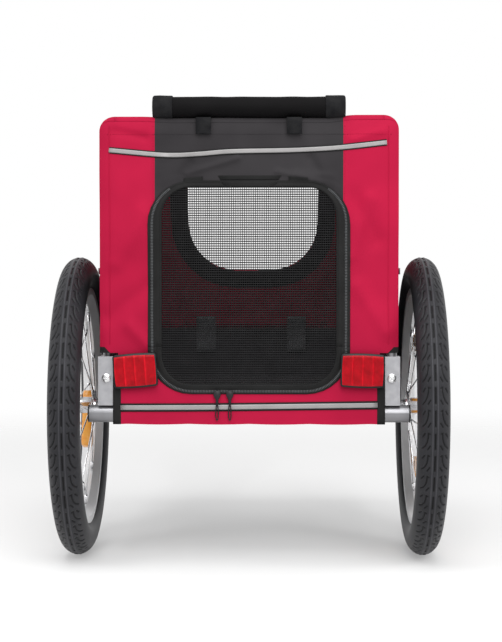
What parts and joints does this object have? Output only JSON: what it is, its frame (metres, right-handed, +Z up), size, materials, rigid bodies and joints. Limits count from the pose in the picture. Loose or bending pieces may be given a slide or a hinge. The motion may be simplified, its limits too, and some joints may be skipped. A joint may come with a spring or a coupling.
{
  "type": "dog bicycle trailer",
  "caption": "Two-wheeled fabric dog trailer on a folding tubular frame, with a zipped net door at the rear, open hatch, reflectors and a drawbar for a bicycle.",
  "frame": {"origin": "on the ground, under the middle of the whole part including the drawbar", "axes": "+Z up, +Y forward towards the bicycle, +X to the right"},
  "size_m": [0.53, 1.17, 0.601],
  "materials": {
    "steel_tube": "silver",
    "zinc_plate": "zinc plated",
    "bolt_steel": "zinc plated",
    "chrome": "bright",
    "rim_metal": "satin",
    "tyre_rubber": "matte",
    "black_plastic": "matte",
    "floor_panel": "black covered board",
    "red_fabric": "coated woven polyester",
    "black_fabric": "coated woven polyester",
    "net": "open mesh",
    "red_lens": "ribbed, reflective",
    "amber_lens": "reflective"
  },
  "bodies": {
    "frame": {"rear_tube": "steel_tube", "rear_tube_plug_left": "black_plastic", "rear_tube_plug_right": "black_plastic", "front_tube": "steel_tube", "side_rail_left": "steel_tube", "side_rail_right": "steel_tube", "axle_sleeve_left": "steel_tube", "axle_sleeve_right": "steel_tube", "hinge_bracket_rear_left": "zinc_plate", "hinge_bracket_rear_right": "zinc_plate", "hinge_bracket_front_left": "zinc_plate", "hinge_bracket_front_right": "zinc_plate", "pivot_bolt_rear_left": "bolt_steel", "pivot_bolt_rear_right": "bolt_steel", "pivot_bolt_front_left": "bolt_steel", "pivot_bolt_front_right": "bolt_steel", "floor_board": "floor_panel", "side_skirt_left": "black_fabric", "side_skirt_right": "black_fabric", "rear_panel": "red_fabric", "front_panel": "red_fabric", "reflector_housing_left": "black_plastic", "reflector_housing_right": "black_plastic", "reflector_lens_left": "red_lens", "reflector_lens_right": "red_lens", "drawbar_socket": "steel_tube", "drawbar": "steel_tube"},
    "left_side": {"hoop_left": "steel_tube", "side_panel_left": "red_fabric"},
    "right_side": {"hoop_right": "steel_tube", "side_panel_right": "red_fabric"},
    "roof": {"roof_panel": "red_fabric", "cover_roll": "black_fabric", "cover_tab_left": "black_fabric", "cover_tab_right": "black_fabric"},
    "rear_door": {"door_border": "black_fabric", "door_net": "net"},
    "lock_pin": {"drawbar_lock_pin": "bolt_steel"},
    "hitch_swivel": {"hitch_fork": "steel_tube"},
    "hitch_foot": {"hitch_plate": "zinc_plate"},
    "zip_left": {"zip_slider_left": "black_plastic"},
    "pull_left": {"zip_pull_left": "black_plastic"},
    "axle_left": {"stub_axle_left": "bolt_steel"},
    "button_left": {"axle_button_left": "black_plastic"},
    "wheel_left": {"tyre_left": "tyre_rubber", "rim_left": "rim_metal", "spokes_left": "chrome", "hub_left": "chrome", "valve_left": "chrome", "spoke_reflectors_left": "amber_lens"},
    "zip_right": {"zip_slider_right": "black_plastic"},
    "pull_right": {"zip_pull_right": "black_plastic"},
    "axle_right": {"stub_axle_right": "bolt_steel"},
    "button_right": {"axle_button_right": "black_plastic"},
    "wheel_right": {"tyre_right": "tyre_rubber", "rim_right": "rim_metal", "spokes_right": "chrome", "hub_right": "chrome", "valve_right": "chrome", "spoke_reflectors_right": "amber_lens"}
  },
  "joints": [
    {"name": "frame_fold", "type": "hinge", "parent": "frame", "child": "left_side", "pos_m": [-0.18, -0.3855, 0.2455], "axis": [0, 1, 0], "range_deg": [0, 89], "deforming": ["rear_panel", "front_panel", "roof_panel", "side_panel_left", "side_panel_right", "cover_roll", "cover_tab_left", "cover_tab_right", "door_border", "door_net"]},
    {"name": "right_fold", "type": "hinge", "parent": "frame", "child": "right_side", "pos_m": [0.18, -0.3855, 0.2455], "axis": [0, 1, 0], "range_deg": [-80.3, 0]},
    {"name": "roof_drop", "type": "slide", "parent": "frame", "child": "roof", "axis": [0, 0, -1], "range_m": [0, 0.256]},
    {"name": "door_swing", "type": "hinge", "parent": "roof", "child": "rear_door", "pos_m": [0, -0.5224, 0.49425], "axis": [-1, 0, 0], "range_deg": [0, 110]},
    {"name": "lock_pin_pull", "type": "slide", "parent": "frame", "child": "lock_pin", "axis": [-1, 0, 0], "range_m": [0, 0.04]},
    {"name": "hitch_yaw", "type": "hinge", "parent": "frame", "child": "hitch_swivel", "pos_m": [-0.1, 0.532, 0.3195], "axis": [0, 0, 1], "range_deg": [-70, 70]},
    {"name": "hitch_tilt", "type": "hinge", "parent": "hitch_swivel", "child": "hitch_foot", "pos_m": [-0.1, 0.572, 0.3195], "axis": [1, 0, 0], "range_deg": [0, 100]},
    {"name": "zip_left_slide", "type": "slide", "parent": "frame", "child": "zip_left", "axis": [-1, 0, 0], "range_m": [0, 0.05]},
    {"name": "pull_left_swing", "type": "hinge", "parent": "zip_left", "child": "pull_left", "pos_m": [-0.04, -0.52625, 0.2116], "axis": [-1, 0, 0], "range_deg": [0, 120]},
    {"name": "axle_left_pull", "type": "slide", "parent": "frame", "child": "axle_left", "axis": [-1, 0, 0], "range_m": [0, 0.08]},
    {"name": "wheel_left_spin", "type": "hinge", "parent": "axle_left", "child": "wheel_left", "pos_m": [-0.229, -0.3855, 0.1995], "axis": [1, 0, 0], "continuous": true},
    {"name": "button_left_press", "type": "slide", "parent": "axle_left", "child": "button_left", "axis": [1, 0, 0], "range_m": [0, 0.0027], "stiffness_N_per_m": 800},
    {"name": "zip_right_slide", "type": "slide", "parent": "frame", "child": "zip_right", "axis": [1, 0, 0], "range_m": [0, 0.085]},
    {"name": "pull_right_swing", "type": "hinge", "parent": "zip_right", "child": "pull_right", "pos_m": [-0.024, -0.52625, 0.2116], "axis": [-1, 0, 0], "range_deg": [0, 120]},
    {"name": "axle_right_pull", "type": "slide", "parent": "frame", "child": "axle_right", "axis": [1, 0, 0], "range_m": [0, 0.08]},
    {"name": "wheel_right_spin", "type": "hinge", "parent": "axle_right", "child": "wheel_right", "pos_m": [0.229, -0.3855, 0.1995], "axis": [1, 0, 0], "continuous": true},
    {"name": "button_right_press", "type": "slide", "parent": "axle_right", "child": "button_right", "axis": [-1, 0, 0], "range_m": [0, 0.0027], "stiffness_N_per_m": 800}
  ],
  "couplings": [
    {"joint": "right_fold", "follows": "frame_fold", "ratio": -0.9},
    {"joint": "roof_drop", "follows": "frame_fold", "m_per_rad": 0.164}
  ]
}
